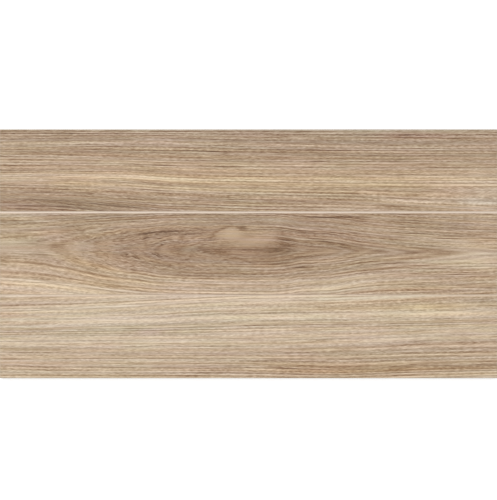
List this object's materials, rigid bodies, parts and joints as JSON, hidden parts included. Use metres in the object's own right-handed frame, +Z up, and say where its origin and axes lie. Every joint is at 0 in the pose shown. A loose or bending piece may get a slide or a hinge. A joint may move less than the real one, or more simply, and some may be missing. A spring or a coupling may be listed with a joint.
{
  "type": "wood-look porcelain floor tile",
  "caption": "Rectangular porcelain floor tile with a wood-plank look, false joints along its face, ground edges and a pressed key relief of square pockets on its back.",
  "frame": {"origin": "middle of the back, on the plane of the ribs that the tile lies on", "axes": "+Z up through the printed face, +X along the planks and the tile's long side, +Y across the planks towards the plank at the top of the picture"},
  "size_m": [0.6, 0.3, 0.009],
  "materials": {
    "printed_porcelain": "satin"
  },
  "bodies": {
    "root": {"tile": "printed_porcelain"}
  },
  "joints": []
}
